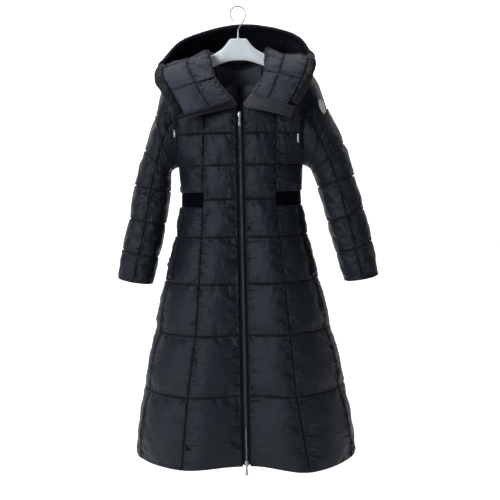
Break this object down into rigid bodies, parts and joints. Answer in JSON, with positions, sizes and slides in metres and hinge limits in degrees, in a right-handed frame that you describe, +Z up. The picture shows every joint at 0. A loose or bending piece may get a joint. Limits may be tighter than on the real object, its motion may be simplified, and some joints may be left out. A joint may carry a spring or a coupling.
{
  "type": "long puffer coat on a clothes hanger",
  "caption": "Long hooded down coat with quilted panels, front zip, slant pockets and elastic waist inserts, hung open at the neck on a moulded clothes hanger.",
  "frame": {"origin": "inside of the top of the hanger's hook, where a rail holds it", "axes": "+Z up, -Y out of the coat's front, +X towards the wearer's left side"},
  "size_m": [0.7847, 0.4502, 1.3539],
  "materials": {
    "down_shell": "near-black downproof nylon with a soft sheen",
    "ribbed_elastic": "matt black-blue ribbed elastic",
    "lining": "dark grey satin nylon lining, softly shiny",
    "facing": "dark grey nylon, stitched in close rows",
    "casing": "dark grey nylon, gathered",
    "zip_tape": "black woven polyester tape",
    "metal": "polished light metal",
    "drawcord": "black gathered elastic cord",
    "badge": "plain off-white woven patch",
    "hanger_plastic": "satin white moulded plastic"
  },
  "bodies": {
    "coat": {"arm_badge": "badge", "back_centre": "down_shell", "back_side_lower_left": "down_shell", "back_side_lower_right": "down_shell", "back_side_upper_left": "down_shell", "back_side_upper_right": "down_shell", "cord_tip_left": "metal", "cord_tip_right": "metal", "drawcord_left": "drawcord", "drawcord_right": "drawcord", "front_centre_left": "down_shell", "front_centre_right": "down_shell", "front_side_lower_left": "down_shell", "front_side_lower_right": "down_shell", "front_side_upper_left": "down_shell", "front_side_upper_right": "down_shell", "hanger": "hanger_plastic", "hanger_hook": "metal", "hood_back": "down_shell", "hood_casing": "casing", "hood_side_left": "lining", "hood_side_right": "lining", "neck_lining": "lining", "pocket_welt_left": "down_shell", "pocket_welt_right": "down_shell", "pocket_zip_left": "zip_tape", "pocket_zip_right": "zip_tape", "sleeve_top_left": "down_shell", "sleeve_top_right": "down_shell", "sleeve_under_left": "down_shell", "sleeve_under_right": "down_shell", "slider_bottom": "metal", "slider_top": "metal", "waist_elastic_left": "ribbed_elastic", "waist_elastic_right": "ribbed_elastic", "zip_chain": "metal", "zip_facing_left": "facing", "zip_facing_right": "facing", "zip_tape_left": "zip_tape", "zip_tape_right": "zip_tape"},
    "top_pull": {"pull_top": "metal"},
    "bottom_pull": {"pull_bottom": "metal"}
  },
  "joints": [
    {"name": "top_pull_swing", "type": "hinge", "parent": "coat", "child": "top_pull", "pos_m": [0, -0.1325, -0.325], "axis": [-1, 0, 0], "range_deg": [0, 120]},
    {"name": "bottom_pull_swing", "type": "hinge", "parent": "coat", "child": "bottom_pull", "pos_m": [0, -0.18696, -1.3165], "axis": [-1, 0, 0], "range_deg": [0, 120]}
  ]
}
